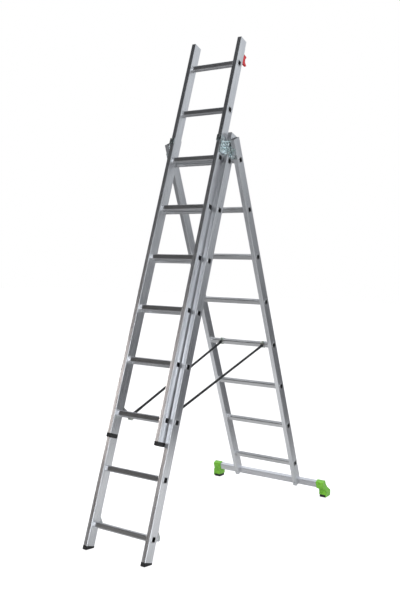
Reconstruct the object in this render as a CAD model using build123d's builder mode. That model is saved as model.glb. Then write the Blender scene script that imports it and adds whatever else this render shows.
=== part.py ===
from build123d import *
import os
from math import atan2, cos, degrees, radians, sin

# Three-section combination ladder, standing open as an A with its third section raised two rungs.
# Millimetres, +Z up, +X to the climber's right, -Y towards the climber, origin on the floor
# at the centre of the footprint.

# Section layout
PITCH = 280.0
RUNGS = 8
LEAN_FRONT = 17.7
LEAN_REAR = 23.6
WIDTH_REAR = 450.0
WIDTH_STEP = 63.0
WIDTH_FRONT = WIDTH_REAR - WIDTH_STEP
WIDTH_UPPER = WIDTH_FRONT - WIDTH_STEP
STACK = 46.0
RAISED = 2 * PITCH
FIRST_RUNG_HEIGHT = 118.0

# Hinge axis, measured from rung 1 of each section: along it, and behind its rung plane
HINGE_ALONG = 1988.0
HINGE_BEHIND_FRONT = 9.7
HINGE_BEHIND_REAR = HINGE_BEHIND_FRONT - STACK

# Stiles: rounded box profile
STILE_T = 25.0
STILE_D = 60.0
STILE_WALL = 1.8
STILE_CORNER = 3.2
FRONT_LOW, FRONT_HIGH = -110.0, 2113.0
UPPER_LOW, UPPER_HIGH = -112.0, 2105.0
REAR_LOW, REAR_HIGH = -153.0, 2077.0

# Rungs: ribbed square tube, beaded inside the stiles and flared outside them
RUNG = 28.0
RUNG_CORNER = 6.0
RUNG_WALL = 1.6
RUNG_SEAT = 0.1
BEAD, BEAD_THICK = 36.0, 2.5
FLARE, FLARE_THICK = 35.0, 1.5
RIB_WIDTH, RIB_HEIGHT, RIBS = 2.0, 0.8, 4
RIB_SPACING = 4.4

# Foot caps
CAP_T, CAP_D = 27.0, 62.0
CAP_SOLE = -127.0
PLUG_LENGTH = 28.0
PLUG_PLAY = 0.2

# Stabiliser bar across the foot of the rear section
BAR_ALONG, BAR_DEEP = 40.0, 28.0
BAR_CENTRE_ALONG, BAR_CENTRE_BEHIND = -137.0, 10.0
BAR_HALF = 395.0
BAR_WALL = 2.0
NOTCH_PLAY = 0.2
BOLT_R, BOLT_PLAY = 4.0, 0.2
BOLT_HEAD, BOLT_HEAD_T = 13.0, 5.0

# Moulded end feet and their rubber pads
SLEEVE_WALL = 5.0
SLEEVE_IN, SLEEVE_OUT = 353.0, 402.0
SHOE_IN, SHOE_OUT = 366.0, 415.0
SHOE_BOTTOM, SHOE_TOP = 16.0, 38.0
SHOE_SLOPE_LOW, SHOE_SLOPE_HIGH = 42.0, 62.0
SKIRT, SKIRT_BOTTOM = 6.0, 5.0
FOOT_BEHIND = 9.0
FOOT_LENGTH = 62.0
PAD_INSET = 2.0
PAD_TREAD = 3.0
BEYOND = 2000.0

# Steel brackets: a base on the middle stile, a step across its front, a guide beside the upper stile
# with a lip round its front. Outlines are (behind, along) points of the side plane.
PLATE = 2.2
STEP_GAP = 0.2
GUIDE_SIDE_GAP, GUIDE_GAP = 2.0, 2.5
GUIDE_LOW, LIP_LOW, GUIDE_HIGH = 1986.0, 2046.0, 2080.0
GUIDE_WAIST = -70.0
LIP_REACH = 1.0
STEP_HIGH = 2062.0
BASE_OUTLINE = [(24, 1978), (26, 2040), (4, STEP_HIGH)]
BASE_LOW_FRONT = (-22, 1978)
BOSS_PLACE, BOSS_TURN = (-56, 2040), 50.0
BOSS_LENGTH, BOSS_WIDTH, BOSS_HEIGHT, BOSS_HOLE_R = 46.0, 18.0, 3.0, 4.0
BRACKET_RIVETS = [(-18, 1990), (-6, 2027), (7, 2017), (-5, 2050)]

# Hinge plates and pins
HINGE_PLATE_OUTLINE = [(24, 1981), (24, 2012), (8, 2044)]
HINGE_PLATE_RIVETS = [(-16, 1994), (8, 1994), (-4, 2026)]
EAR_R, EAR_DROP = 12.0, 5.0
FLANGE_LOW, FLANGE_HIGH = 1974.0, 2030.0
PIN_R = 5.0
PIN_PLAY = 0.05
PIN_HEAD_R, PIN_HEAD_T = 9.0, 3.0
PIN_END_R, PIN_END_T, PIN_END_PLAY = 5.9, 2.0, 0.3
RIVET_R, RIVET_HEAD_R, RIVET_HEAD_T = 2.5, 4.2, 0.8
RIVET_TAIL_T = 1.2
RIVET_PLAY = 0.05

# Hooks at the foot of the sliding sections, (behind, along) outlines from the stile's back face
HOOK_LOW, HOOK_HIGH = -18.0, 64.0
HOOK_RIVET_ALONG = 54.0
FIN_OUTLINE = [(57, 12), (57, -6), (44, -8)]
FIN_SHOULDER, FIN_THROAT = 38.0, -2.0
HOOK_PLAY = 0.6
HOOK_SHOULDER, HOOK_CROWN, HOOK_TIP = 34.0, 6.0, -8.0

# Latch on the right stile of the upper section
LATCH_X, LATCH_WIDTH = 152.0, 10.0
LATCH_PIN_BEHIND, LATCH_PIN_R = 39.0, 2.0
LATCH_LOW, LATCH_HIGH, LATCH_TOE = 1983.0, 2036.0, 80.0
LATCH_PLATE_WIDTH, LATCH_PLATE_TOP = 16.0, 2066.0
LATCH_TOE_CHAMFER = 6.0
LATCH_WAIST = [(61, 2001), (57, 2017)]
LATCH_GRIP = [(66, 2032), (62, LATCH_HIGH)]
LATCH_RIVETS = [(-LATCH_X, 2048), (-LATCH_X, 2059)]
LUG = 3.0
LUG_GAP = 0.5

# Spreader straps and the steel clips that hold them on a rung: a band with two ears and a cross pin
STRAP_WIDTH, STRAP_THICK = 20.0, 2.0
STRAP_RUNG_FRONT, STRAP_RUNG_REAR = 3, 4
STRAP_X_FRONT = {"left": -92.0, "right": 123.0}
STRAP_X_REAR = {"left": -130.0, "right": 156.0}
STRAP_GAP = 0.2
CLIP_BAND, CLIP_EAR, CLIP_EAR_R = 1.5, 1.3, 4.5
CLIP_PIN_R = 2.5
CLIP_PIN_OUT = {"front": 25.0, "rear": 22.0}
CLIP_INNER = RUNG + 2 * (RIB_HEIGHT + STRAP_GAP)
CLIP_OUTER = CLIP_INNER + 2 * CLIP_BAND
CLIP_CORNER = RUNG_CORNER + RIB_HEIGHT + STRAP_GAP
FRONT_LUG, REAR_LUG, LUG_CORNER = (24, 12, 7), (16, 9, 5), 2.0
EYE_INNER = CLIP_PIN_R + STRAP_GAP
EYE_OUTER = EYE_INNER + STRAP_THICK

SIDES = {"left": -1, "right": 1}

# ---------------------------------------------------------------- frame of each section
pivot_z = (FIRST_RUNG_HEIGHT + HINGE_ALONG * cos(radians(LEAN_FRONT))
           - HINGE_BEHIND_FRONT * sin(radians(LEAN_FRONT)))
toe_behind = -CAP_D / 2 - HINGE_BEHIND_FRONT
toe_along = CAP_SOLE - HINGE_ALONG
toe_y = toe_behind * cos(radians(LEAN_FRONT)) + toe_along * sin(radians(LEAN_FRONT))
heel_behind = FOOT_BEHIND - HINGE_BEHIND_REAR
heel_along = -(pivot_z + heel_behind * sin(radians(LEAN_REAR))) / cos(radians(LEAN_REAR))
heel_y = heel_behind * cos(radians(LEAN_REAR)) - heel_along * sin(radians(LEAN_REAR))
pivot = Vector(0, -(toe_y + heel_y + FOOT_LENGTH / 2) / 2, pivot_z)
foot_y = pivot.Y + heel_y


def section_plane(lean, hinge_behind):
    """Side plane of a section: x runs rearwards across it, y up along it, origin at rung 1."""
    rearwards = Vector(0, cos(radians(lean)), -sin(radians(lean)))
    upwards = Vector(0, sin(radians(lean)), cos(radians(lean)))
    origin = pivot - rearwards * hinge_behind - upwards * HINGE_ALONG
    return Plane(origin=origin, x_dir=rearwards, z_dir=(1, 0, 0))


front = section_plane(LEAN_FRONT, HINGE_BEHIND_FRONT)
rear = section_plane(-LEAN_REAR, HINGE_BEHIND_REAR)
upper = Plane(origin=front.from_local_coords((-STACK, RAISED, 0)), x_dir=front.x_dir, z_dir=(1, 0, 0))


def across(section, along):
    """Cross plane of a section: x is +X, y runs rearwards."""
    return Plane(origin=section.from_local_coords((0, along, 0)), x_dir=(1, 0, 0), z_dir=section.y_dir)


def facing(section, behind):
    """Plane parallel to a section's rung plane, facing rearwards: x is -X, y runs up along it."""
    return Plane(origin=section.from_local_coords((behind, 0, 0)), x_dir=(-1, 0, 0), z_dir=section.x_dir)


def outer_face(width, side):
    """Outer face of a section's stile."""
    return side * width / 2


def inner_face(width, side):
    """Inner face of a section's stile."""
    return side * (width / 2 - STILE_T)


def stile_x(width, side):
    """Middle of a section's stile."""
    return side * (width - STILE_T) / 2


def rear_point(behind, along):
    """A point of the rear section's side plane as (y, z)."""
    point = rear.from_local_coords((behind, along, 0))
    return (point.Y, point.Z)


def keep(piece, name):
    """Names a finished piece and writes its file."""
    piece.part.label = name
    export_step(piece.part, f"parts/{name}.step")


def rivet_group(name, rows):
    """Rivets through a plate and a stile wall: each row is the plate's face, the way out, and the places."""
    shank = PLATE + STILE_WALL
    with BuildPart() as rivets:
        for face, out, places in rows:
            with BuildSketch(face):
                with Locations(*places):
                    Circle(RIVET_HEAD_R)
            extrude(amount=out * RIVET_HEAD_T)
            with BuildSketch(face):
                with Locations(*places):
                    Circle(RIVET_R - RIVET_PLAY)
            extrude(amount=-out * shank)
            with BuildSketch(face.offset(-out * shank)):
                with Locations(*places):
                    Circle(RIVET_HEAD_R)
            extrude(amount=-out * RIVET_TAIL_T)
    keep(rivets, name)


os.makedirs("parts", exist_ok=True)


# ---------------------------------------------------------------- stiles
def make_stile(name, section, x, low, high, cuts):
    """Box-section stile with a square seat for each rung; cuts are extra (plane, places, radius) holes."""
    with BuildPart() as stile:
        with BuildSketch(across(section, low)):
            with Locations((x, 0)):
                RectangleRounded(STILE_T, STILE_D, STILE_CORNER)
                RectangleRounded(STILE_T - 2 * STILE_WALL, STILE_D - 2 * STILE_WALL,
                                 STILE_CORNER - STILE_WALL, mode=Mode.SUBTRACT)
        extrude(amount=high - low)
        with BuildSketch(section.offset(x)):
            with Locations(*[(0, k * PITCH) for k in range(RUNGS)]):
                RectangleRounded(RUNG + 2 * RUNG_SEAT, RUNG + 2 * RUNG_SEAT, RUNG_CORNER + RUNG_SEAT)
        extrude(amount=STILE_T, both=True, mode=Mode.SUBTRACT)
        for plane, places, radius, depth in cuts:
            with BuildSketch(plane):
                with Locations(*places):
                    Circle(radius)
            extrude(amount=depth, both=True, mode=Mode.SUBTRACT)
        if section is rear:
            bar_front = BAR_CENTRE_BEHIND - BAR_DEEP / 2 - NOTCH_PLAY
            bar_top = BAR_CENTRE_ALONG + BAR_ALONG / 2 + NOTCH_PLAY
            with BuildSketch(section.offset(x)):
                with Locations((bar_front, bar_top)):
                    Rectangle(STILE_D, STILE_D, align=(Align.MIN, Align.MAX))
            extrude(amount=STILE_T, both=True, mode=Mode.SUBTRACT)
    keep(stile, name)


for hand, side in SIDES.items():
    x = stile_x(WIDTH_FRONT, side)
    hinge_hole = (front.offset(x), [(HINGE_BEHIND_FRONT, HINGE_ALONG)], PIN_R + PIN_PLAY, STILE_T)
    rivet_holes = (front.offset(outer_face(WIDTH_FRONT, side)), BRACKET_RIVETS, RIVET_R, 2 * STILE_WALL)
    hook_hole = (facing(front, STILE_D / 2), [(-x, HOOK_RIVET_ALONG)], RIVET_R, 2 * STILE_WALL)
    make_stile(f"middle_section_stile_{hand}", front, x, FRONT_LOW, FRONT_HIGH,
               [hinge_hole, rivet_holes, hook_hole])

    x = stile_x(WIDTH_REAR, side)
    inner = inner_face(WIDTH_REAR, side)
    rivet_holes = (rear.offset(inner), HINGE_PLATE_RIVETS, RIVET_R, 2 * STILE_WALL)
    bolt_hole = (facing(rear, -STILE_D / 2), [(-x, BAR_CENTRE_ALONG)], BOLT_R + BOLT_PLAY, 2 * STILE_WALL)
    make_stile(f"rear_section_stile_{hand}", rear, x, REAR_LOW, REAR_HIGH, [rivet_holes, bolt_hole])

    x = stile_x(WIDTH_UPPER, side)
    places = [(-x, HOOK_RIVET_ALONG)] + (LATCH_RIVETS if hand == "right" else [])
    rivet_holes = (facing(upper, STILE_D / 2), places, RIVET_R, 2 * STILE_WALL)
    make_stile(f"upper_section_stile_{hand}", upper, x, UPPER_LOW, UPPER_HIGH, [rivet_holes])


# ---------------------------------------------------------------- rungs
def make_rung(name, section, width, number):
    """Ribbed square tube through both stiles, with swaged beads and flares."""
    along = (number - 1) * PITCH
    inner = width / 2 - STILE_T
    with BuildPart() as rung:
        with BuildSketch(section.offset(-width / 2)):
            with Locations((0, along)):
                RectangleRounded(RUNG, RUNG, RUNG_CORNER)
        extrude(amount=width)
        with BuildSketch(section.offset(-inner)):
            for face in (-1, 1):
                for k in range(RIBS):
                    with Locations(((k - (RIBS - 1) / 2) * RIB_SPACING, along + face * RUNG / 2)):
                        Rectangle(RIB_WIDTH, 2 * RIB_HEIGHT)
        extrude(amount=2 * inner)
        for side in SIDES.values():
            with BuildSketch(section.offset(side * inner)):
                with Locations((0, along)):
                    RectangleRounded(BEAD, BEAD, RUNG_CORNER + (BEAD - RUNG) / 2)
            extrude(amount=-side * BEAD_THICK)
            with BuildSketch(section.offset(side * width / 2)):
                with Locations((0, along)):
                    RectangleRounded(FLARE, FLARE, RUNG_CORNER + (FLARE - RUNG) / 2)
            extrude(amount=side * FLARE_THICK)
        with BuildSketch(section.offset(-width)):
            with Locations((0, along)):
                RectangleRounded(RUNG - 2 * RUNG_WALL, RUNG - 2 * RUNG_WALL, RUNG_CORNER - RUNG_WALL)
        extrude(amount=2 * width, mode=Mode.SUBTRACT)
    keep(rung, name)


for label, section, width in (("middle", front, WIDTH_FRONT), ("rear", rear, WIDTH_REAR),
                              ("upper", upper, WIDTH_UPPER)):
    for number in range(1, RUNGS + 1):
        make_rung(f"{label}_section_rung_{number}", section, width, number)


# ---------------------------------------------------------------- rubber foot caps
def make_cap(name, section, x, low, on_floor):
    """Rubber cap over a stile's end, plugged into it; a cap that stands on the floor is cut level."""
    with BuildPart() as cap:
        with BuildSketch(across(section, CAP_SOLE)):
            with Locations((x, 0)):
                RectangleRounded(CAP_T, CAP_D, STILE_CORNER + 1)
        extrude(amount=low - CAP_SOLE)
        with BuildSketch(across(section, low)):
            with Locations((x, 0)):
                RectangleRounded(STILE_T - 2 * (STILE_WALL + PLUG_PLAY),
                                 STILE_D - 2 * (STILE_WALL + PLUG_PLAY), STILE_CORNER - STILE_WALL)
        extrude(amount=PLUG_LENGTH)
        if on_floor:
            split(bisect_by=Plane.XY, keep=Keep.TOP)
    keep(cap, name)


for hand, side in SIDES.items():
    make_cap(f"middle_section_foot_cap_{hand}", front, stile_x(WIDTH_FRONT, side), FRONT_LOW, True)
    make_cap(f"upper_section_foot_cap_{hand}", upper, stile_x(WIDTH_UPPER, side), UPPER_LOW, False)


# ---------------------------------------------------------------- stabiliser bar, its bolts and feet
with BuildPart() as stabiliser_bar:
    with BuildSketch(rear.offset(-BAR_HALF)):
        with Locations((BAR_CENTRE_BEHIND, BAR_CENTRE_ALONG)):
            RectangleRounded(BAR_DEEP, BAR_ALONG, STILE_CORNER)
            RectangleRounded(BAR_DEEP - 2 * BAR_WALL, BAR_ALONG - 2 * BAR_WALL, STILE_CORNER - BAR_WALL,
                             mode=Mode.SUBTRACT)
    extrude(amount=2 * BAR_HALF)
    with BuildSketch(facing(rear, BAR_CENTRE_BEHIND)):
        with Locations(*[(-stile_x(WIDTH_REAR, side), BAR_CENTRE_ALONG) for side in SIDES.values()]):
            Circle(BOLT_R + BOLT_PLAY)
    extrude(amount=BAR_DEEP, both=True, mode=Mode.SUBTRACT)
keep(stabiliser_bar, "stabiliser_bar")

bolt_places = [(-stile_x(WIDTH_REAR, side), BAR_CENTRE_ALONG) for side in SIDES.values()]
bar_back = BAR_CENTRE_BEHIND + BAR_DEEP / 2
with BuildPart() as stabiliser_bolts:
    with BuildSketch(facing(rear, -STILE_D / 2 - BOLT_HEAD_T)):
        with Locations(*bolt_places):
            RegularPolygon(BOLT_HEAD / 2, 6, major_radius=False)
    extrude(amount=BOLT_HEAD_T)
    with BuildSketch(facing(rear, -STILE_D / 2)):
        with Locations(*bolt_places):
            Circle(BOLT_R)
    extrude(amount=STILE_D / 2 + bar_back + 1.5 * BOLT_HEAD_T)
    with BuildSketch(facing(rear, bar_back)):
        with Locations(*bolt_places):
            RegularPolygon(BOLT_HEAD / 2, 6, major_radius=False)
    extrude(amount=BOLT_HEAD_T)
keep(stabiliser_bolts, "stabiliser_bolts")


def shoe_outline(bottom):
    """Side view of a moulded shoe as (y, z) points, from the bar's sleeve down to a level bottom."""
    half_sleeve = BAR_DEEP / 2 + SLEEVE_WALL
    front_y = foot_y - FOOT_LENGTH / 2
    back_y = foot_y + FOOT_LENGTH / 2
    return [rear_point(BAR_CENTRE_BEHIND - half_sleeve, BAR_CENTRE_ALONG), (front_y, SHOE_TOP),
            (front_y, bottom), (back_y, bottom), (back_y, SHOE_TOP),
            rear_point(BAR_CENTRE_BEHIND + half_sleeve, BAR_CENTRE_ALONG)]


def make_stabiliser_foot(name, side):
    """Moulded foot: a sleeve over the bar's end and a shoe that reaches down to the rubber pad."""
    with BuildPart() as foot:
        with BuildSketch(rear.offset(side * SLEEVE_IN)):
            with Locations((BAR_CENTRE_BEHIND, BAR_CENTRE_ALONG)):
                RectangleRounded(BAR_DEEP + 2 * SLEEVE_WALL, BAR_ALONG + 2 * SLEEVE_WALL,
                                 STILE_CORNER + SLEEVE_WALL)
        extrude(amount=side * (SLEEVE_OUT - SLEEVE_IN))
        with BuildSketch(Plane.YZ.offset(side * SHOE_IN)):
            with BuildLine():
                Polyline(*shoe_outline(SHOE_BOTTOM), close=True)
            make_face()
        extrude(amount=side * (SHOE_OUT - SHOE_IN))
        with BuildSketch(Plane.YZ.offset(side * (SHOE_OUT - SKIRT))):
            with BuildLine():
                Polyline(*shoe_outline(SKIRT_BOTTOM), close=True)
            make_face()
        extrude(amount=side * SKIRT)
        with BuildSketch(Plane.XZ):
            with BuildLine():
                Polyline((side * SLEEVE_OUT, SHOE_SLOPE_HIGH), (side * SHOE_OUT, SHOE_SLOPE_LOW),
                         (side * BEYOND, SHOE_SLOPE_LOW), (side * BEYOND, BEYOND),
                         (side * SLEEVE_OUT, BEYOND), close=True)
            make_face()
        extrude(amount=BEYOND, both=True, mode=Mode.SUBTRACT)
        with BuildSketch(rear.offset(side * SLEEVE_IN)):
            with Locations((BAR_CENTRE_BEHIND, BAR_CENTRE_ALONG)):
                RectangleRounded(BAR_DEEP + 2 * NOTCH_PLAY, BAR_ALONG + 2 * NOTCH_PLAY,
                                 STILE_CORNER + NOTCH_PLAY)
        extrude(amount=side * (BAR_HALF - SLEEVE_IN), mode=Mode.SUBTRACT)
    keep(foot, name)


def make_pad(name, side):
    """Rubber pad inside a moulded foot's skirt, with tread grooves across its sole."""
    width = SHOE_OUT - SKIRT - NOTCH_PLAY - SHOE_IN - PAD_INSET
    length = FOOT_LENGTH - 2 * PAD_INSET
    centre = (side * (SHOE_IN + PAD_INSET + width / 2), foot_y)
    with BuildPart() as pad:
        with BuildSketch(Plane.XY):
            with Locations(centre):
                RectangleRounded(width, length, STILE_CORNER)
        extrude(amount=SHOE_BOTTOM)
        with BuildSketch(Plane.XY):
            with Locations(centre):
                with GridLocations(0, length / 4, 1, 3):
                    Rectangle(2 * width, PAD_TREAD)
        extrude(amount=PAD_TREAD, mode=Mode.SUBTRACT)
    keep(pad, name)


for hand, side in SIDES.items():
    make_stabiliser_foot(f"stabiliser_foot_{hand}", side)
    make_pad(f"stabiliser_foot_pad_{hand}", side)


# ---------------------------------------------------------------- top brackets, hinge plates and pins
step_back = -STILE_D / 2 - STEP_GAP
step_front = step_back - PLATE
lip_back = -STACK - STILE_D / 2 - GUIDE_GAP
lip_front = lip_back - PLATE


def make_top_bracket(name, side):
    """Steel bracket: riveted base, step across the stile, guide plate and lip round the next section."""
    face = outer_face(WIDTH_FRONT, side)
    guide = outer_face(WIDTH_UPPER, side) + side * GUIDE_SIDE_GAP
    lip_end = side * (WIDTH_UPPER / 2 - STILE_T + LIP_REACH)
    with BuildPart() as bracket:
        with BuildSketch(front.offset(face)):
            with BuildLine():
                Polyline(BASE_LOW_FRONT, *BASE_OUTLINE, (step_front, STEP_HIGH), (step_front, GUIDE_LOW),
                         close=True)
            make_face()
        extrude(amount=side * PLATE)
        with BuildSketch(front.offset(guide)):
            with Locations((step_back, GUIDE_LOW)):
                Rectangle(PLATE, STEP_HIGH - GUIDE_LOW, align=(Align.MAX, Align.MIN))
        extrude(amount=face + side * PLATE - guide)
        with BuildSketch(front.offset(guide)):
            with BuildLine():
                Polyline((step_back, GUIDE_LOW), (step_back, STEP_HIGH), (step_front, GUIDE_HIGH),
                         (lip_front, GUIDE_HIGH), (lip_front, LIP_LOW), (GUIDE_WAIST, LIP_LOW - PLATE),
                         (GUIDE_WAIST, GUIDE_LOW), close=True)
            make_face()
        extrude(amount=side * PLATE)
        with BuildSketch(front.offset(guide + side * PLATE)):
            with Locations((lip_back, LIP_LOW)):
                Rectangle(PLATE, GUIDE_HIGH - LIP_LOW, align=(Align.MAX, Align.MIN))
        extrude(amount=lip_end - guide - side * PLATE)
        with BuildSketch(front.offset(guide + side * PLATE)):
            with Locations(BOSS_PLACE):
                SlotOverall(BOSS_LENGTH, BOSS_WIDTH, rotation=BOSS_TURN)
        extrude(amount=side * BOSS_HEIGHT)
        with BuildSketch(front.offset(face)):
            with Locations(*BRACKET_RIVETS):
                Circle(RIVET_R)
            with Locations((HINGE_BEHIND_FRONT, HINGE_ALONG)):
                Circle(PIN_R + PIN_PLAY)
        extrude(amount=2 * PLATE, both=True, mode=Mode.SUBTRACT)
        with BuildSketch(front.offset(guide)):
            with Locations(BOSS_PLACE):
                Circle(BOSS_HOLE_R)
        extrude(amount=2 * PLATE, both=True, mode=Mode.SUBTRACT)
    keep(bracket, name)


def make_hinge_plate(name, side):
    """Steel plate inside the rear section's stile, with an ear to the pin and a flange across the front."""
    face = inner_face(WIDTH_REAR, side)
    with BuildPart() as plate:
        with BuildSketch(rear.offset(face)):
            with BuildLine():
                Polyline((-STILE_D / 2, HINGE_PLATE_OUTLINE[0][1]), *HINGE_PLATE_OUTLINE,
                         (-STILE_D / 2, HINGE_PLATE_OUTLINE[-1][1]), close=True)
            make_face()
            with Locations((HINGE_BEHIND_REAR, HINGE_ALONG)):
                Circle(EAR_R)
            with Locations((HINGE_BEHIND_REAR, HINGE_ALONG + EAR_DROP)):
                Rectangle(EAR_R, 2 * (EAR_R - EAR_DROP), align=(Align.MIN, Align.CENTER))
            with Locations(*HINGE_PLATE_RIVETS):
                Circle(RIVET_R, mode=Mode.SUBTRACT)
        extrude(amount=-side * PLATE)
        with BuildSketch(rear.offset(face - side * PLATE)):
            with Locations((-STILE_D / 2, FLANGE_LOW)):
                Rectangle(PLATE, FLANGE_HIGH - FLANGE_LOW, align=(Align.MAX, Align.MIN))
        extrude(amount=side * (PLATE + STILE_T))
        with BuildSketch(rear.offset(face)):
            with Locations((HINGE_BEHIND_REAR, HINGE_ALONG)):
                Circle(PIN_R + PIN_PLAY)
        extrude(amount=PLATE, both=True, mode=Mode.SUBTRACT)
        with BuildSketch(rear.offset(face)):
            with Locations((HINGE_BEHIND_REAR, HINGE_ALONG)):
                Circle(PIN_END_R + PIN_END_PLAY)
        extrude(amount=side * (2 * PIN_END_PLAY + PIN_END_T), mode=Mode.SUBTRACT)
    keep(plate, name)


def make_hinge_pin(name, side):
    """Headed pin through the middle section's stile, turning in the rear section's ear."""
    inner = inner_face(WIDTH_FRONT, side)
    ear_outer = inner_face(WIDTH_REAR, side)
    end_start = ear_outer + side * PIN_END_PLAY
    centre = (HINGE_BEHIND_FRONT, HINGE_ALONG)
    with BuildPart() as pin:
        with BuildSketch(front.offset(inner - side * PIN_HEAD_T)):
            with Locations(centre):
                Circle(PIN_HEAD_R)
        extrude(amount=side * PIN_HEAD_T)
        with BuildSketch(front.offset(inner)):
            with Locations(centre):
                Circle(PIN_R)
        extrude(amount=end_start - inner)
        with BuildSketch(front.offset(end_start)):
            with Locations(centre):
                Circle(PIN_END_R)
        extrude(amount=side * PIN_END_T)
    keep(pin, name)


for hand, side in SIDES.items():
    make_top_bracket(f"top_bracket_{hand}", side)
    make_hinge_plate(f"hinge_plate_{hand}", side)
    make_hinge_pin(f"hinge_pin_{hand}", side)


# ---------------------------------------------------------------- hooks at the foot of the sliding sections
stile_back = STILE_D / 2
hook_back = stile_back + PLATE


def make_middle_hook(name, side):
    """Steel fin behind the foot of the middle section, which sits over a rung of the rear section."""
    inner = outer_face(WIDTH_FRONT, side) - side * (STILE_T - STILE_WALL)
    with BuildPart() as hook:
        with BuildSketch(front.offset(inner)):
            with BuildLine():
                Polyline((stile_back, HOOK_HIGH), (hook_back, HOOK_HIGH), (hook_back, FIN_SHOULDER),
                         *FIN_OUTLINE, (hook_back, FIN_THROAT), (hook_back, HOOK_LOW),
                         (stile_back, HOOK_LOW), close=True)
            make_face()
        extrude(amount=side * (STILE_T - 2 * STILE_WALL))
        with BuildSketch(facing(front, STILE_D / 2)):
            with Locations((-stile_x(WIDTH_FRONT, side), HOOK_RIVET_ALONG)):
                Circle(RIVET_R)
        extrude(amount=2 * PLATE, both=True, mode=Mode.SUBTRACT)
    keep(hook, name)


def make_upper_hook(name, side):
    """Steel hook behind the foot of the upper section, over and behind a rung of the middle section."""
    inner = outer_face(WIDTH_UPPER, side) - side * (STILE_T - STILE_WALL)
    rung_top = RUNG / 2 + RIB_HEIGHT + HOOK_PLAY
    rung_back = STACK + RUNG / 2 + HOOK_PLAY
    with BuildPart() as hook:
        with BuildSketch(upper.offset(inner)):
            with BuildLine():
                Polyline((stile_back, HOOK_HIGH), (hook_back, HOOK_HIGH), (hook_back, HOOK_SHOULDER),
                         (rung_back + HOOK_CROWN, rung_top + HOOK_CROWN), (rung_back + HOOK_CROWN, HOOK_TIP),
                         (rung_back, HOOK_TIP), (rung_back, rung_top), (stile_back, rung_top), close=True)
            make_face()
        extrude(amount=side * (STILE_T - 2 * STILE_WALL))
        with BuildSketch(facing(upper, STILE_D / 2)):
            with Locations((-stile_x(WIDTH_UPPER, side), HOOK_RIVET_ALONG)):
                Circle(RIVET_R)
        extrude(amount=2 * PLATE, both=True, mode=Mode.SUBTRACT)
    keep(hook, name)


for hand, side in SIDES.items():
    make_middle_hook(f"middle_section_hook_{hand}", side)
    make_upper_hook(f"upper_section_hook_{hand}", side)


# ---------------------------------------------------------------- latch
with BuildPart() as latch_bracket:
    lug_low = LATCH_LOW - LUG_GAP - LUG
    lug_high = LATCH_HIGH + LUG_GAP
    with BuildSketch(facing(upper, STILE_D / 2)):
        with Locations((-LATCH_X, lug_low)):
            Rectangle(LATCH_PLATE_WIDTH, LATCH_PLATE_TOP - lug_low, align=(Align.CENTER, Align.MIN))
        with Locations(*LATCH_RIVETS):
            Circle(RIVET_R, mode=Mode.SUBTRACT)
    extrude(amount=PLATE)
    for lug in (lug_low, lug_high):
        with BuildSketch(across(upper, lug)):
            with Locations((LATCH_X, STILE_D / 2)):
                Rectangle(LATCH_WIDTH, LATCH_PIN_BEHIND - STILE_D / 2, align=(Align.CENTER, Align.MIN))
            with Locations((LATCH_X, LATCH_PIN_BEHIND)):
                Circle(LATCH_WIDTH / 2)
        extrude(amount=LUG)
    with BuildSketch(across(upper, lug_low)):
        with Locations((LATCH_X, LATCH_PIN_BEHIND)):
            Circle(LATCH_PIN_R)
    extrude(amount=lug_high - lug_low)
keep(latch_bracket, "latch_bracket")

with BuildPart() as latch:
    with BuildSketch(across(upper, LATCH_LOW)):
        with Locations((LATCH_X, LATCH_PIN_BEHIND)):
            Circle(LATCH_WIDTH / 2)
    extrude(amount=LATCH_HIGH - LATCH_LOW)
    with BuildSketch(upper.offset(LATCH_X)):
        with BuildLine():
            Polyline((LATCH_PIN_BEHIND, LATCH_LOW), (LATCH_TOE - LATCH_TOE_CHAMFER, LATCH_LOW),
                     (LATCH_TOE, LATCH_LOW + LATCH_TOE_CHAMFER), *LATCH_WAIST, *LATCH_GRIP,
                     (LATCH_PIN_BEHIND, LATCH_HIGH), close=True)
        make_face()
    extrude(amount=LATCH_WIDTH / 2, both=True)
    with BuildSketch(across(upper, LATCH_LOW)):
        with Locations((LATCH_X, LATCH_PIN_BEHIND)):
            Circle(LATCH_PIN_R + PIN_PLAY)
    extrude(amount=LATCH_HIGH - LATCH_LOW, mode=Mode.SUBTRACT)
keep(latch, "latch")

# ---------------------------------------------------------------- rivets
rivet_group("middle_section_rivets", [
    (front.offset(outer_face(WIDTH_FRONT, side) + side * PLATE), side, BRACKET_RIVETS)
    for side in SIDES.values()
] + [
    (facing(front, STILE_D / 2 + PLATE), 1, [(-stile_x(WIDTH_FRONT, side), HOOK_RIVET_ALONG)])
    for side in SIDES.values()
])
rivet_group("rear_section_rivets", [
    (rear.offset(inner_face(WIDTH_REAR, side) - side * PLATE), -side, HINGE_PLATE_RIVETS)
    for side in SIDES.values()
])
rivet_group("upper_section_rivets", [
    (facing(upper, STILE_D / 2 + PLATE), 1, [(-stile_x(WIDTH_UPPER, side), HOOK_RIVET_ALONG)])
    for side in SIDES.values()
] + [(facing(upper, STILE_D / 2 + PLATE), 1, LATCH_RIVETS)])

# ---------------------------------------------------------------- spreader straps and their clips
strap_along_front = (STRAP_RUNG_FRONT - 1) * PITCH
strap_along_rear = (STRAP_RUNG_REAR - 1) * PITCH


def strap_ends(hand):
    """Rung centres that a strap runs between, and the pins just outside them."""
    start = front.from_local_coords((0, strap_along_front, STRAP_X_FRONT[hand]))
    end = rear.from_local_coords((0, strap_along_rear, STRAP_X_REAR[hand]))
    run = Vector(0, end.Y - start.Y, end.Z - start.Z).normalized()
    return start + run * CLIP_PIN_OUT["front"], end - run * CLIP_PIN_OUT["rear"]


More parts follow.
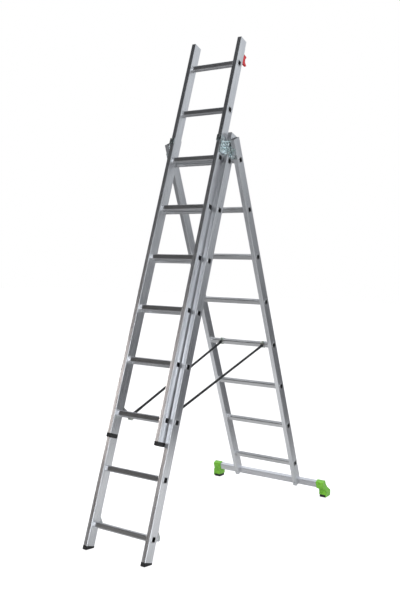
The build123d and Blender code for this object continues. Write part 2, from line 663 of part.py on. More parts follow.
def make_strap(name, hand):
    """Webbing strap: an eye round the pin of each clip and the taut run between them."""
    start, end = strap_ends(hand)
    run = (end - start).normalized()
    half_width = Vector(STRAP_WIDTH / 2, 0, 0)
    middle = Plane(origin=start, x_dir=(1, 0, 0), z_dir=Vector(1, 0, 0).cross(run))
    corners = [middle.to_local_coords(point) for point in
               (start - half_width, start + half_width, end + half_width, end - half_width)]
    with BuildPart() as strap:
        with BuildSketch(middle):
            with BuildLine():
                Polyline(*[(corner.X, corner.Y) for corner in corners], close=True)
            make_face()
        extrude(amount=STRAP_THICK / 2, both=True)
        for pin in (start, end):
            with BuildSketch(Plane.YZ.offset(pin.X)):
                with Locations((pin.Y, pin.Z)):
                    Circle(EYE_OUTER)
            extrude(amount=STRAP_WIDTH / 2, both=True)
        for pin in (start, end):
            with BuildSketch(Plane.YZ.offset(pin.X)):
                with Locations((pin.Y, pin.Z)):
                    Circle(EYE_INNER)
            extrude(amount=STRAP_WIDTH, both=True, mode=Mode.SUBTRACT)
    keep(strap, name)


def make_strap_clips(name, section, along, pins, lug_up, lug):
    """Steel clips for both straps: a band round the rung, ears and a pin for the eye, a closing lug."""
    width, depth, height = lug
    ear_inner = STRAP_WIDTH / 2 + STRAP_GAP
    ear_outer = ear_inner + CLIP_EAR
    with BuildPart() as clips:
        for pin in pins:
            local = section.to_local_coords(pin)
            out = Vector(local.X, local.Y - along, 0)
            with BuildSketch(section.offset(pin.X)):
                with Locations((0, along)):
                    RectangleRounded(CLIP_OUTER, CLIP_OUTER, CLIP_CORNER + CLIP_BAND)
            extrude(amount=ear_outer, both=True)
            for ear in SIDES.values():
                with BuildSketch(section.offset(pin.X + ear * ear_inner)):
                    with Locations((local.X, local.Y)):
                        Circle(CLIP_EAR_R)
                    with Locations(Location((out.X / 2, along + out.Y / 2, 0),
                                            (0, 0, degrees(atan2(out.Y, out.X))))):
                        Rectangle(out.length, 2 * CLIP_EAR_R)
                extrude(amount=ear * CLIP_EAR)
            with BuildSketch(section.offset(pin.X)):
                with Locations((local.X, local.Y)):
                    Circle(CLIP_PIN_R)
            extrude(amount=ear_outer, both=True)
            with BuildSketch(across(section, along)):
                with Locations((pin.X, 0)):
                    RectangleRounded(width, depth, LUG_CORNER)
            extrude(amount=lug_up * (CLIP_OUTER / 2 + height))
            with BuildSketch(section.offset(pin.X)):
                with Locations((0, along)):
                    RectangleRounded(CLIP_INNER, CLIP_INNER, CLIP_CORNER)
            extrude(amount=STRAP_WIDTH, both=True, mode=Mode.SUBTRACT)
    keep(clips, name)


for hand in SIDES:
    make_strap(f"spreader_strap_{hand}", hand)
front_pins, rear_pins = zip(*[strap_ends(hand) for hand in SIDES])
make_strap_clips("strap_clips_front", front, strap_along_front, front_pins, -1, FRONT_LUG)
make_strap_clips("strap_clips_rear", rear, strap_along_rear, rear_pins, 1, REAR_LUG)
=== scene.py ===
from math import cos, pi, radians, sin

import bmesh
import bpy
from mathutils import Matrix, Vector


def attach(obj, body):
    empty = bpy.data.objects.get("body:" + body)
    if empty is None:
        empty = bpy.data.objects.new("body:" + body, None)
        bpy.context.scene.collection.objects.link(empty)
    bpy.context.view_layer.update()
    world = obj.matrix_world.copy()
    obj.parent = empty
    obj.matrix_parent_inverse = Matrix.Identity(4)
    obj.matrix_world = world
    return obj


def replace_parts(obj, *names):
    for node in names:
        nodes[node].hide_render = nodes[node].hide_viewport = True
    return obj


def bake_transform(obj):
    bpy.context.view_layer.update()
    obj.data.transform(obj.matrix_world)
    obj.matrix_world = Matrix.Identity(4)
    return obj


# Three-section combination ladder: camera, studio and finishes round the CAD frame. Metres, +Z up.
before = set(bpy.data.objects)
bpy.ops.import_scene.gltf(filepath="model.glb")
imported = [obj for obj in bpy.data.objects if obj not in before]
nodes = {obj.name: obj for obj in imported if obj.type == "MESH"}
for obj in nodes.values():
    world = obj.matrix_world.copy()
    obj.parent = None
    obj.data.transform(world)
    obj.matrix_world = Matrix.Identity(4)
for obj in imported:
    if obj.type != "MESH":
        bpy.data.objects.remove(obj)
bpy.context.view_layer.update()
MM = 0.001

# ---------------------------------------------------------------- section frames, as in the CAD source
LEAN = {"front": 17.7, "rear": -23.6}
HINGE_ALONG = 1988.0
HINGE_BEHIND = {"front": 9.7, "rear": -36.3}
UPPER_FORWARD, UPPER_RAISED = 46.0, 560.0
PITCH = 280.0
PIVOT_Y, PIVOT_Z = -138.158, 2008.942


def place(section, x, behind, along):
    """Point in metres: x across, behind the rung plane, along the section from rung 1, in millimetres."""
    if section == "upper":
        section, behind, along = "front", behind - UPPER_FORWARD, along + UPPER_RAISED
    lean = radians(LEAN[section])
    r = behind - HINGE_BEHIND[section]
    s = along - HINGE_ALONG
    return Vector((x, PIVOT_Y + r * cos(lean) + s * sin(lean), PIVOT_Z - r * sin(lean) + s * cos(lean))) * MM


# ---------------------------------------------------------------- node helpers
class Finish:
    """A node material: a shader with helpers for the textures that feed it."""

    def __init__(self, name, **inputs):
        self.material = bpy.data.materials.new(name)
        self.material.use_nodes = True
        self.tree = self.material.node_tree
        self.shader = self.tree.nodes["Principled BSDF"]
        for socket, value in inputs.items():
            self.shader.inputs[socket.replace("_", " ")].default_value = value
        self.coords = self.tree.nodes.new("ShaderNodeTexCoord")

    def link(self, out, into):
        self.tree.links.new(out, into)

    def mapped(self, scale, tilt=0.0, source="Object"):
        """Coordinates turned about X by tilt degrees, then stretched."""
        turn = self.tree.nodes.new("ShaderNodeMapping")
        turn.vector_type = "POINT"
        turn.inputs["Rotation"].default_value = (radians(tilt), 0, 0)
        self.link(self.coords.outputs[source], turn.inputs["Vector"])
        stretch = self.tree.nodes.new("ShaderNodeMapping")
        stretch.inputs["Scale"].default_value = scale
        self.link(turn.outputs["Vector"], stretch.inputs["Vector"])
        return stretch.outputs["Vector"]

    def noise(self, vector, scale=1.0, detail=2.0, rough=0.5, distortion=0.0):
        node = self.tree.nodes.new("ShaderNodeTexNoise")
        node.inputs["Scale"].default_value = scale
        node.inputs["Detail"].default_value = detail
        node.inputs["Roughness"].default_value = rough
        node.inputs["Distortion"].default_value = distortion
        self.link(vector, node.inputs["Vector"])
        return node.outputs["Fac"]

    def cells(self, vector, scale):
        node = self.tree.nodes.new("ShaderNodeTexVoronoi")
        node.inputs["Scale"].default_value = scale
        self.link(vector, node.inputs["Vector"])
        return node.outputs["Color"]

    def wave(self, vector, direction, scale, distortion=0.0):
        node = self.tree.nodes.new("ShaderNodeTexWave")
        node.bands_direction = direction
        node.inputs["Scale"].default_value = scale
        node.inputs["Distortion"].default_value = distortion
        self.link(vector, node.inputs["Vector"])
        return node.outputs["Fac"]

    def ramp(self, factor, stops):
        """Stops are (position, colour or grey)."""
        node = self.tree.nodes.new("ShaderNodeValToRGB")
        spare = len(stops) - len(node.color_ramp.elements)
        for _ in range(spare):
            node.color_ramp.elements.new(0.5)
        for element, (position, colour) in zip(node.color_ramp.elements, stops):
            element.position = position
            rgb = colour if hasattr(colour, "__len__") else (colour,) * 3
            element.color = (*rgb, 1.0)
        self.link(factor, node.inputs["Fac"])
        return node.outputs["Color"]

    def mix(self, factor, a, b, blend="MIX"):
        node = self.tree.nodes.new("ShaderNodeMix")
        node.data_type = "RGBA"
        node.blend_type = blend
        for value, socket in ((factor, node.inputs[0]), (a, node.inputs[6]), (b, node.inputs[7])):
            if hasattr(value, "links"):
                self.link(value, socket)
            elif hasattr(value, "__len__"):
                socket.default_value = (*value, 1.0)
            else:
                socket.default_value = value
        return node.outputs[2]

    def math(self, operation, a, b):
        node = self.tree.nodes.new("ShaderNodeMath")
        node.operation = operation
        for value, socket in ((a, node.inputs[0]), (b, node.inputs[1])):
            if hasattr(value, "links"):
                self.link(value, socket)
            else:
                socket.default_value = value
        return node.outputs[0]

    def colour(self, out):
        self.link(out, self.shader.inputs["Base Color"])

    def roughness(self, out):
        self.link(out, self.shader.inputs["Roughness"])

    def grain_along(self, direction):
        """Sets the direction of the die lines, carried round with the object."""
        turn = self.tree.nodes.new("ShaderNodeVectorTransform")
        turn.vector_type = "VECTOR"
        turn.convert_from = "OBJECT"
        turn.convert_to = "WORLD"
        turn.inputs["Vector"].default_value = direction
        self.link(turn.outputs["Vector"], self.shader.inputs["Tangent"])

    def bump(self, *layers):
        """Layers are (height, strength, distance in metres), laid one on another."""
        normal = None
        for height, strength, distance in layers:
            node = self.tree.nodes.new("ShaderNodeBump")
            node.inputs["Strength"].default_value = strength
            node.inputs["Distance"].default_value = distance
            self.link(height, node.inputs["Height"])
            if normal is not None:
                self.link(normal, node.inputs["Normal"])
            normal = node.outputs["Normal"]
        self.link(normal, self.shader.inputs["Normal"])


STREAK_UP = (True, True, False)
STREAK_ACROSS = (False, True, True)


def aluminium(name, stretch, tilt=0.0, tone_and_shade=(1.0, 1.0, 1.0)):
    """Extruded aluminium: die lines along the profile, soft blotches, handling scuffs."""
    f = Finish(name, Metallic=1.0, Anisotropic=0.85, Anisotropic_Rotation=0.25)
    up_stile = (0.0, sin(radians(tilt)), cos(radians(tilt)))
    f.grain_along(up_stile if stretch is STREAK_UP else (1.0, 0.0, 0.0))
    lines = f.noise(f.mapped([260 if s else 5 for s in stretch], tilt), detail=4, rough=0.65)
    fine = f.noise(f.mapped([1500 if s else 9 for s in stretch], tilt), detail=2)
    broad = f.noise(f.mapped([14 if s else 2.2 for s in stretch], tilt), detail=3, rough=0.6)
    scuff = f.noise(f.mapped([90, 90, 90], tilt), detail=6, rough=0.7, distortion=1.2)
    light = [c * t for c, t in zip((0.90, 0.905, 0.915), tone_and_shade)]
    dull = [c * t for c, t in zip((0.70, 0.705, 0.72), tone_and_shade)]
    base = f.ramp(broad, [(0.32, dull), (0.66, light)])
    base = f.mix(f.ramp(lines, [(0.38, 0.0), (0.62, 0.32)]), base, (0.62, 0.63, 0.65))
    base = f.mix(f.ramp(scuff, [(0.60, 0.0), (0.72, 0.45)]), base, (0.55, 0.55, 0.56))
    f.colour(base)
    worn = f.mix(f.ramp(scuff, [(0.58, 0.0), (0.70, 0.6)]), f.ramp(lines, [(0.3, 0.24), (0.7, 0.38)]),
                 (0.52, 0.52, 0.52))
    f.roughness(worn)
    f.bump((lines, 0.22, 0.0006), (fine, 0.12, 0.0002), (broad, 0.05, 0.002))
    return f.material


def zinc(name, tint=(0.70, 0.79, 0.80), pale=(0.93, 0.96, 0.95), rough=(0.14, 0.32), dents=0.55):
    """Bright zinc-plated steel: spangled, faintly blue-green, hammered a little where it was pressed."""
    f = Finish(name, Metallic=1.0)
    spangle = f.cells(f.mapped([1, 1, 1]), 190)
    patches = f.noise(f.mapped([1, 1, 1]), 55, detail=4, rough=0.62, distortion=0.8)
    dent = f.noise(f.mapped([1, 1, 1]), 120, detail=2, rough=0.5)
    grain = f.noise(f.mapped([1, 1, 1]), 1400, detail=2)
    base = f.ramp(patches, [(0.30, [c * 0.62 for c in tint]), (0.48, tint), (0.66, pale)])
    f.colour(f.mix(0.16, base, spangle, "OVERLAY"))
    f.roughness(f.ramp(patches, [(0.3, rough[0]), (0.7, rough[1])]))
    f.bump((dent, dents, 0.004), (patches, 0.3, 0.001), (grain, 0.12, 0.0002))
    return f.material


def rubber(name):
    """Black moulded rubber with a dusty, finely pitted skin."""
    f = Finish(name)
    dust = f.noise(f.mapped([1, 1, 1]), 60, detail=5, rough=0.65)
    pits = f.noise(f.mapped([1, 1, 1]), 1600, detail=2)
    f.colour(f.ramp(dust, [(0.42, (0.010, 0.010, 0.011)), (0.75, (0.045, 0.044, 0.043))]))
    f.roughness(f.ramp(dust, [(0.3, 0.48), (0.7, 0.78)]))
    f.bump((pits, 0.35, 0.0003))
    return f.material


def plastic(name, deep, bright, rough=(0.28, 0.44), grain_size=900, **inputs):
    """Moulded plastic: fine spark-eroded grain, faint flow marks."""
    f = Finish(name, **inputs)
    flow = f.noise(f.mapped([1, 1, 1]), 34, detail=4, rough=0.55, distortion=1.5)
    grain = f.noise(f.mapped([1, 1, 1]), grain_size, detail=3)
    f.colour(f.ramp(flow, [(0.30, deep), (0.70, bright)]))
    f.roughness(f.ramp(flow, [(0.3, rough[0]), (0.7, rough[1])]))
    f.bump((grain, 0.18, 0.0003), (flow, 0.08, 0.001))
    return f.material


def webbing(name):
    """Tightly woven black polyester: ribs across the band, yarns along it."""
    f = Finish(name, Sheen_Weight=0.05, Sheen_Roughness=0.5, Specular_IOR_Level=0.25)
    yarns = f.wave(f.mapped([1, 1, 1], source="UV"), "X", 160)
    picks = f.wave(f.mapped([1, 1, 1], source="UV"), "Y", 105)
    weave = f.math("MULTIPLY", yarns, picks)
    fuzz = f.noise(f.mapped([1, 1, 1], source="UV"), 2500, detail=3)
    # Colour falls darker at the weave's low points: painted shade in the hollows between the yarns; the fuzz
    # lightens it.
    f.colour(f.mix(f.ramp(fuzz, [(0.4, 0.0), (0.8, 0.5)]),
                   f.ramp(weave, [(0.0, (0.002, 0.002, 0.0025)), (1.0, (0.010, 0.010, 0.011))]),
                   (0.016, 0.016, 0.017)))
    f.roughness(f.ramp(fuzz, [(0.3, 0.62), (0.7, 0.85)]))
    f.bump((weave, 0.7, 0.0007), (fuzz, 0.25, 0.0003))
    return f.material


front_aluminium = aluminium("aluminium_front_stile", STREAK_UP, LEAN["front"])
rear_aluminium = aluminium("aluminium_rear_stile", STREAK_UP, LEAN["rear"])
rung_aluminium = aluminium("aluminium_rung", STREAK_ACROSS, LEAN["front"], (0.97, 0.965, 0.96))
# The rear rungs take the rung finish darker and warmer: painted shade for the rear section.
rear_rung_aluminium_painted_shade = aluminium("aluminium_rear_rung_painted_shade", STREAK_ACROSS, LEAN["rear"], (0.88, 0.87, 0.855))
bar_aluminium = aluminium("aluminium_bar", STREAK_ACROSS, LEAN["rear"], (0.985, 0.975, 0.99))
bright_zinc = zinc("zinc_bright")
hook_zinc = zinc("zinc_hook", (0.52, 0.54, 0.54), (0.74, 0.75, 0.74), (0.25, 0.42), 0.3)
clip_zinc = zinc("zinc_clip", (0.55, 0.57, 0.52), (0.72, 0.72, 0.66), (0.26, 0.44), 0.3)
rivet_zinc = zinc("zinc_rivet", (0.74, 0.76, 0.78), (0.90, 0.90, 0.90), (0.2, 0.34), 0.15)
black_rubber = rubber("rubber_black")
green_plastic = plastic("plastic_green", (0.14, 0.43, 0.022), (0.24, 0.63, 0.05))
red_plastic = plastic("plastic_red", (0.62, 0.008, 0.014), (0.86, 0.02, 0.03), (0.2, 0.34))
black_webbing = webbing("webbing_black")
thread = plastic("thread_black", (0.02, 0.02, 0.022), (0.06, 0.06, 0.064), (0.5, 0.7), 2600)


# ---------------------------------------------------------------- finishes on the CAD nodes
def soften(obj, width, segments=2):
    """Flat regions joined up, then their edges rounded over and shaded smooth."""
    flat = obj.modifiers.new("flat", "DECIMATE")
    flat.decimate_type = "DISSOLVE"
    flat.angle_limit = radians(1.0)
    edge = obj.modifiers.new("edge", "BEVEL")
    edge.width = width
    edge.segments = segments
    edge.limit_method = "ANGLE"
    edge.angle_limit = radians(32)
    edge.use_clamp_overlap = True
    edge.harden_normals = False
    smooth = obj.modifiers.new("smooth", "WEIGHTED_NORMAL")
    smooth.keep_sharp = True


def finish_nodes(words, material, edge=0.0):
    for name, obj in nodes.items():
        if all(word in name for word in words):
            obj.data.materials.clear()
            obj.data.materials.append(material)
            if edge:
                soften(obj, edge)


finish_nodes(["middle_section_stile"], front_aluminium)
finish_nodes(["upper_section_stile"], front_aluminium)
finish_nodes(["rear_section_stile"], rear_aluminium)
finish_nodes(["middle_section_rung"], rung_aluminium, 0.0005)
finish_nodes(["upper_section_rung"], rung_aluminium, 0.0005)
finish_nodes(["rear_section_rung"], rear_rung_aluminium_painted_shade, 0.0005)
finish_nodes(["stabiliser_bar"], bar_aluminium)
finish_nodes(["stabiliser_bolts"], rivet_zinc, 0.0004)
finish_nodes(["rivets"], rivet_zinc, 0.0003)
finish_nodes(["top_bracket"], bright_zinc, 0.0006)
finish_nodes(["hinge_plate"], bright_zinc, 0.0006)
finish_nodes(["hinge_pin"], rivet_zinc, 0.0006)
finish_nodes(["_hook_"], hook_zinc, 0.0006)
finish_nodes(["latch_bracket"], bright_zinc, 0.0004)
finish_nodes(["strap_clips"], clip_zinc, 0.0004)
finish_nodes(["stabiliser_foot"], green_plastic, 0.0014)
for hand in ("left", "right"):
    pad = nodes[f"stabiliser_foot_pad_{hand}"]
    pad.data.materials.clear()
    pad.data.materials.append(black_rubber)
nodes["latch"].data.materials.clear()
nodes["latch"].data.materials.append(red_plastic)
soften(nodes["latch"], 0.0012, 3)


# ---------------------------------------------------------------- mesh helpers
def new_piece(name, mesh, body, slot, *materials):
    obj = bpy.data.objects.new(name, mesh)
    bpy.context.collection.objects.link(obj)
    for material in materials:
        mesh.materials.append(material)
    if body:
        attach(obj, body)
    return obj


WELD = 0.00002


def finish_mesh(bm, name):
    bmesh.ops.remove_doubles(bm, verts=bm.verts, dist=WELD)
    bmesh.ops.dissolve_degenerate(bm, dist=WELD, edges=bm.edges)
    bmesh.ops.recalc_face_normals(bm, faces=bm.faces)
    mesh = bpy.data.meshes.new(name)
    bm.to_mesh(mesh)
    bm.free()
    return mesh


def smooth(mesh):
    for face in mesh.polygons:
        face.use_smooth = True
    mesh.set_sharp_from_angle(angle=radians(50))


def rounded(width, depth, radius, steps=6):
    """Outline of a rounded rectangle about the origin, as (u, v) points."""
    points = []
    for quarter, (sx, sy) in enumerate(((1, 1), (-1, 1), (-1, -1), (1, -1))):
        for k in range(steps + 1):
            angle = (quarter + k / steps) * pi / 2
            points.append((sx * (width / 2 - radius) + radius * cos(angle),
                           sy * (depth / 2 - radius) + radius * sin(angle)))
    return points


def loft(bm, rings, material=0, uv=None):
    """Skins rings of points and fills both ends."""
    grid = [[bm.verts.new(point) for point in ring] for ring in rings]
    count = len(grid[0])
    for row, (low, high) in enumerate(zip(grid, grid[1:])):
        for k in range(count):
            face = bm.faces.new((low[k], low[(k + 1) % count], high[(k + 1) % count], high[k]))
            face.material_index = material
            if uv:
                layer, across, lengths = uv
                for loop, (a, b) in zip(face.loops, ((k, row), (k + 1, row), (k + 1, row + 1), (k, row + 1))):
                    loop[layer].uv = (across[a % count], lengths[b])
    for ring in (grid[0], grid[-1]):
        bm.faces.new(ring).material_index = material


# ---------------------------------------------------------------- rubber foot caps
CAP_WIDTH, CAP_DEPTH, CAP_CORNER = 27.4, 62.4, 4.6
CAP_PROFILE = [(-127.0, -2.2), (-126.2, -0.9), (-124.8, -0.1), (-121.0, 0.0), (-120.4, -0.7), (-119.4, -0.7),
               (-118.8, 0.0), (-116.2, 0.0), (-115.6, -0.7), (-114.6, -0.7), (-114.0, 0.0), (-108.4, 0.0),
               (-107.5, -0.3), (-107.0, -1.0)]
CAP_X = {"front": 181.0, "upper": 149.5}
TREAD_BARS, TREAD_PITCH, TREAD_WIDTH, TREAD_DEPTH = 5, 10.5, 21, 5.5
TREAD_PROFILE = ((-126.5, 0.0), (-127.9, 0.0), (-128.4, 0.8))


def foot_cap(name, section, x, on_floor, body, cad):
    """Ribbed cap with a rounded sole; one that stands on the floor is worn level."""
    bm = bmesh.new()
    up = place(section, 0, 0, 1) - place(section, 0, 0, 0)
    rings = []
    for along, grow in CAP_PROFILE:
        ring = []
        for u, v in rounded(CAP_WIDTH + 2 * grow, CAP_DEPTH + 2 * grow, CAP_CORNER + grow):
            point = place(section, x + u, v, along)
            if on_floor and point.z < 0:
                point = point - up * (point.z / up.z)
            ring.append(point)
        rings.append(ring)
    loft(bm, rings)
    if not on_floor:
        for k in range(TREAD_BARS):
            middle = (k - (TREAD_BARS - 1) / 2) * TREAD_PITCH
            bar = [[place(section, x + u, middle + v, along)
                    for u, v in rounded(TREAD_WIDTH - inset, TREAD_DEPTH - inset, 1.0)]
                   for along, inset in TREAD_PROFILE]
            loft(bm, bar)
    mesh = finish_mesh(bm, name)
    smooth(mesh)
    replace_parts(new_piece(name, mesh, body, "black_rubber", black_rubber), cad)


for hand, side in (("left", -1), ("right", 1)):
    foot_cap(f"front_rubber_cap_{hand}", "front", side * CAP_X["front"], True, "middle_section",
             f"middle_section_foot_cap_{hand}")
    foot_cap(f"upper_rubber_cap_{hand}", "upper", side * CAP_X["upper"], False, "upper_section",
             f"upper_section_foot_cap_{hand}")

# ---------------------------------------------------------------- spreader straps
STRAP_WIDTH, STRAP_THICK = 20.0, 1.9
STRAP_RUNGS = {"front": 3, "rear": 4}
STRAP_X = {"left": (-92.0, -130.0), "right": (123.0, 156.0)}
PIN_OUT = {"front": 25.0, "rear": 22.0}
EYE_RADIUS, EYE_REACH, NECK, OVERLAP = 3.7, 125, 14.0, 66.0
STITCH, STITCH_PITCH = 2.4, 3.6


def band_profile():
    """Cross-section of the band: flat faces, thicker selvedges, rounded edges, as (across, through)."""
    half, thick = STRAP_WIDTH / 2, STRAP_THICK / 2
    top = [(-half, 0.0), (-half + 0.35, thick * 0.75), (-half + 1.1, thick), (-half + 2.2, thick * 0.86),
           (-half * 0.4, thick * 0.84), (0.0, thick * 0.88), (half * 0.4, thick * 0.84),
           (half - 2.2, thick * 0.86), (half - 1.1, thick), (half - 0.35, thick * 0.75), (half, 0.0)]
    return top + [(u, -v) for u, v in reversed(top[1:-1])]


def sweep(bm, layer, centres, normals):
    """Band along centre points, its width lying along X."""
    profile = band_profile()
    rings = [[centre + Vector((u, 0, 0)) * MM + normal * v * MM for u, v in profile]
             for centre, normal in zip(centres, normals)]
    lengths = [0.0]
    for a, b in zip(centres, centres[1:]):
        lengths.append(lengths[-1] + (b - a).length)
    loft(bm, rings, uv=(layer, [u * MM for u, v in profile], lengths))


def eye(bm, layer, pin, run, normal):
    """Webbing taken round the clip's pin and brought back to the neck, where its two layers meet."""
    half_gap = STRAP_THICK * 0.45
    steps = 18
    centres, normals = [], []
    for k in range(steps + 1):
        angle = radians(-EYE_REACH + 2 * EYE_REACH * k / steps)
        out = -run * cos(angle) + normal * sin(angle)
        centres.append(pin + out * EYE_RADIUS * MM)
        normals.append(out)
    for sign, at in ((-1, 0), (1, len(centres))):
        side = normal * sign
        for k in range(1, 5):
            t = k / 4
            ease = t * t * (3 - 2 * t)
            offset = EYE_RADIUS * sin(radians(EYE_REACH)) * (1 - ease) + half_gap * ease
            along = -EYE_RADIUS * cos(radians(EYE_REACH)) * (1 - t) + NECK * t
            point = pin + run * along * MM + side * offset * MM
            if sign < 0:
                centres.insert(0, point)
                normals.insert(0, side)
            else:
                centres.append(point)
                normals.append(side)
    for sign, row in ((-1, 0), (1, len(centres) - 1)):
        tail = [pin + run * (NECK + k * (OVERLAP - NECK) / 4) * MM + normal * sign * half_gap * MM
                for k in range(1, 5)]
        if sign < 0:
            centres = tail[::-1] + centres
            normals = [normal * sign] * 4 + normals
        else:
            centres += tail
            normals += [normal * sign] * 4
    sweep(bm, layer, centres, normals)


def stitches(bm, pin, run, normal, x_dir):
    """Box of stitches through the overlap: two rows along it and two across it."""
    first, last = NECK + 6.0, OVERLAP - 4.0
    rows = []
    for side in (-6.5, 6.5):
        count = int((last - first) / STITCH_PITCH) + 1
        rows += [(side, first + k * STITCH_PITCH, False) for k in range(count)]
    for end in (first, last):
        rows += [(k * STITCH_PITCH, end, True) for k in range(-1, 2)]
    for face in (-1, 1):
        for across, along, turned in rows:
            centre = pin + run * along * MM + x_dir * across * MM
            lift = normal * face * STRAP_THICK * 0.88 * MM
            long_axis, wide_axis = (x_dir, run) if turned else (run, x_dir)
            rings = []
            for height, shrink in ((-0.3, 1.0), (0.12, 1.0), (0.38, 0.55)):
                rings.append([centre + lift + normal * face * height * MM
                              + long_axis * u * shrink * MM + wide_axis * v * shrink * MM
                              for u, v in rounded(STITCH, 0.8, 0.36, 3)])
            loft(bm, rings, material=1)


for hand, (x_front, x_rear) in STRAP_X.items():
    bm = bmesh.new()
    layer = bm.loops.layers.uv.new("weave")
    start = place("front", x_front, 0, (STRAP_RUNGS["front"] - 1) * PITCH)
    end = place("rear", x_rear, 0, (STRAP_RUNGS["rear"] - 1) * PITCH)
    level = Vector((0, end.y - start.y, end.z - start.z)).normalized()
    first, last = start + level * PIN_OUT["front"] * MM, end - level * PIN_OUT["rear"] * MM
    run = (last - first).normalized()
    x_dir = Vector((1, 0, 0))
    normal = x_dir.cross(run).normalized()
    eye(bm, layer, first, run, normal)
    eye(bm, layer, last, -run, normal)
    steps = 48
    begin, stop = first + run * (OVERLAP - 8) * MM, last - run * (OVERLAP - 8) * MM
    sweep(bm, layer, [begin + (stop - begin) * k / steps for k in range(steps + 1)], [normal] * (steps + 1))
    stitches(bm, first, run, normal, x_dir)
    stitches(bm, last, -run, normal, x_dir)
    bmesh.ops.recalc_face_normals(bm, faces=bm.faces)
    mesh = bpy.data.meshes.new(f"webbing_strap_{hand}")
    bm.to_mesh(mesh)
    bm.free()
    smooth(mesh)
    strap = new_piece(f"webbing_strap_{hand}", mesh, None, "webbing", black_webbing, thread)
    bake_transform(strap)
    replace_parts(strap, f"spreader_strap_{hand}")


# ---------------------------------------------------------------- camera
camera_data = bpy.data.cameras.new("camera")
camera_data.lens = 45.85
camera_data.sensor_width = 36.0
camera_data.sensor_fit = "AUTO"
camera = bpy.data.objects.new("camera", camera_data)
camera.location = (2.31298, -3.64432, 1.41210)
camera.rotation_euler = (radians(87.633), radians(-1.536), radians(33.255))
bpy.context.collection.objects.link(camera)
bpy.context.scene.camera = camera

# ---------------------------------------------------------------- floor and world
# The camera sees pale paper and a white backdrop; reflections in the metal see a studio graded from dark to
# light.
# On the paper this is painted: painted shade in its colour and a painted glow in its emission, lifted to
# white for the camera. A grading is (from, to, value before, value after).
FLOOR_HALF = 30.0
PAPER_BEYOND = (0.6, 2.5, 0.0, 1.0)
PAPER_PAINTED_LIT, PAPER_SLANT = (-2.6, 0.4, 0.10, 1.0), 0.5
PAPER_PAINTED_UNLIT = [(0.1, 0.75), (0.9, 0.0)]
PAPER_GRAIN = [(0.3, 0.50), (0.7, 0.53)]
PAPER_PAINTED_SHADE = (0.10, 0.10, 0.105)
GLOW_TO_CAMERA, GLOW_TO_METAL = (0.82, 1.0), (0.17, 0.0)
WALL_FOOT, WALL_TOP, TOP_STRENGTH = (-0.02, 0.24, 0.25, 0.74), (0.4, 0.7, 0.0, 1.0), 1.15
DARK_SIDE, DARK_TO_WALL = (0.15, 0.65, 0.105, 0.045), (-0.30, 0.15, 0.0, 1.0)
LAMP_TOWARDS, LAMP_GLOW = (0.53, -0.80, 0.20), (0.88, 0.985, 0.0, 3.0)
STRIP_RISE, STRIP_FALL = (-0.02, 0.05, 0.0, 9.0), (0.09, 0.20, 0.0, 1.0)
STRIP_END_X, STRIP_END_Y = (-0.92, -0.78, 0.0, 1.0), (-0.1, 0.0, 0.0, 1.0)
COOL_X, COOL_Y, COOL_Z = (-0.25, 0.15, 0.0, 1.0), (-0.15, 0.1, 0.0, 1.0), (0.15, 0.6, 0.0, 1.0)
WARM_WHITE, COOL_WHITE, WHITE = (1.0, 0.90, 0.84, 1), (0.91, 0.95, 1.0, 1), (1, 1, 1, 1)

floor_mesh = bpy.data.meshes.new("floor")
corners = ((-1, -1), (1, -1), (1, 1), (-1, 1))
floor_mesh.from_pydata([(sx * FLOOR_HALF, sy * FLOOR_HALF, 0) for sx, sy in corners], [], [(0, 1, 2, 3)])
floor = bpy.data.objects.new("floor", floor_mesh)
bpy.context.collection.objects.link(floor)


def graded(tree, value, grading):
    """Smooth step of value over a grading."""
    node = tree.nodes.new("ShaderNodeMapRange")
    node.interpolation_type = "SMOOTHSTEP"
    for socket, number in zip(("From Min", "From Max", "To Min", "To Max"), grading):
        node.inputs[socket].default_value = number
    tree.links.new(value, node.inputs["Value"])
    return node.outputs["Result"]


def blended(tree, factor, a, b):
    """Number between a and b by factor."""
    node = tree.nodes.new("ShaderNodeMix")
    node.data_type = "FLOAT"
    for value, socket in ((factor, node.inputs[0]), (a, node.inputs[2]), (b, node.inputs[3])):
        if hasattr(value, "links"):
            tree.links.new(value, socket)
        else:
            socket.default_value = value
    return node.outputs[0]


def added(tree, a, b):
    """Sum of two numbers."""
    node = tree.nodes.new("ShaderNodeMath")
    tree.links.new(a, node.inputs[0])
    tree.links.new(b, node.inputs[1])
    return node.outputs[0]


def facing(tree, heading, direction):
    """How far a heading points along a direction."""
    node = tree.nodes.new("ShaderNodeVectorMath")
    node.operation = "DOT_PRODUCT"
    node.inputs[1].default_value = direction
    tree.links.new(heading, node.inputs[0])
    return node.outputs["Value"]


# Painted shade: the paper's colour falls to the dark paper colour outside the painted pool of light and far
# back, so the metal reflects a shaded floor.
paper = Finish("floor_paper", Roughness=0.9)
paper.shader.inputs["Emission Color"].default_value = WHITE
spot = paper.tree.nodes.new("ShaderNodeSeparateXYZ")
paper.link(paper.coords.outputs["Object"], spot.inputs["Vector"])
beyond = graded(paper.tree, spot.outputs["Y"], PAPER_BEYOND)
slanted = paper.math("ADD", spot.outputs["Y"], paper.math("MULTIPLY", spot.outputs["X"], PAPER_SLANT))
painted_lit = graded(paper.tree, slanted, PAPER_PAINTED_LIT)
grain = paper.ramp(paper.noise(paper.mapped([1, 1, 1]), 2.0), PAPER_GRAIN)
dark = paper.math("MAXIMUM", beyond, paper.ramp(painted_lit, PAPER_PAINTED_UNLIT))
paper.colour(paper.mix(dark, grain, PAPER_PAINTED_SHADE))
seen = paper.tree.nodes.new("ShaderNodeLightPath")
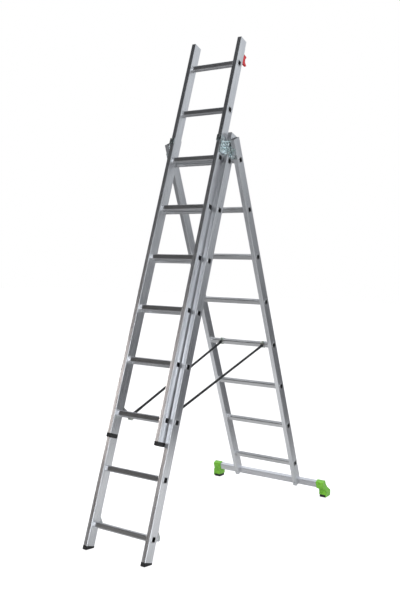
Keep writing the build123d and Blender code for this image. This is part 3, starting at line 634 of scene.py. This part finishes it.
# Painted glow: the paper emits towards reflections only, in the painted pool of light near the ladder; camera
# rays get an even glow that lifts it to white.
to_metal = paper.math("MULTIPLY", painted_lit, blended(paper.tree, beyond, *GLOW_TO_METAL))
to_camera = blended(paper.tree, dark, *GLOW_TO_CAMERA)
paper.link(blended(paper.tree, seen.outputs["Is Camera Ray"], to_metal, to_camera),
           paper.shader.inputs["Emission Strength"])
floor_mesh.materials.append(paper.material)

world = bpy.data.worlds.new("studio")
bpy.context.scene.world = world
world.use_nodes = True
tree = world.node_tree
background = tree.nodes["Background"]
heading = tree.nodes.new("ShaderNodeTexCoord").outputs["Generated"]
split = tree.nodes.new("ShaderNodeSeparateXYZ")
tree.links.new(heading, split.inputs["Vector"])
head_x, head_y, head_z = (split.outputs[axis] for axis in "XYZ")
wall = blended(tree, graded(tree, head_z, WALL_TOP), graded(tree, head_z, WALL_FOOT), TOP_STRENGTH)
room = blended(tree, graded(tree, head_y, DARK_TO_WALL), graded(tree, head_z, DARK_SIDE), wall)
lamp = graded(tree, facing(tree, heading, Vector(LAMP_TOWARDS).normalized()), LAMP_GLOW)
up_front = (0.0, sin(radians(LEAN["front"])), cos(radians(LEAN["front"])))
up_stile = facing(tree, heading, up_front)
strip = blended(tree, graded(tree, up_stile, STRIP_FALL), graded(tree, up_stile, STRIP_RISE), 0.0)
strip = blended(tree, graded(tree, head_x, STRIP_END_X), strip, 0.0)
strip = blended(tree, graded(tree, head_y, STRIP_END_Y), strip, 0.0)
studio = added(tree, room, added(tree, lamp, strip))
camera_ray = tree.nodes.new("ShaderNodeLightPath").outputs["Is Camera Ray"]
tree.links.new(blended(tree, camera_ray, studio, 1.0), background.inputs["Strength"])
hue = tree.nodes.new("ShaderNodeMix")
hue.data_type = "RGBA"
cool = blended(tree, graded(tree, head_y, COOL_Y), graded(tree, head_z, COOL_Z), 1.0)
tree.links.new(blended(tree, graded(tree, head_x, COOL_X), cool, 1.0), hue.inputs[0])
hue.inputs[6].default_value = WARM_WHITE
hue.inputs[7].default_value = COOL_WHITE
tinted = tree.nodes.new("ShaderNodeMix")
tinted.data_type = "RGBA"
tree.links.new(camera_ray, tinted.inputs[0])
tree.links.new(hue.outputs[2], tinted.inputs[6])
tinted.inputs[7].default_value = WHITE
tree.links.new(tinted.outputs[2], background.inputs["Color"])


# ---------------------------------------------------------------- lights
def soft_light(name, location, target, size, power):
    data = bpy.data.lights.new(name, "AREA")
    data.shape = "RECTANGLE"
    data.size, data.size_y = size
    data.energy = power
    light = bpy.data.objects.new(name, data)
    light.location = location
    light.rotation_euler = (Vector(target) - Vector(location)).to_track_quat("-Z", "Y").to_euler()
    light.visible_camera = False
    light.visible_glossy = False
    bpy.context.collection.objects.link(light)


soft_light("key", (2.2, -3.4, 3.2), (0, 0, 1.0), (1.6, 1.6), 70)
soft_light("top", (-0.8, 0.3, 4.8), (0, 0, 0.6), (2.4, 2.4), 60)

view = bpy.context.scene.view_settings
view.view_transform = "Standard"
view.look = "None"
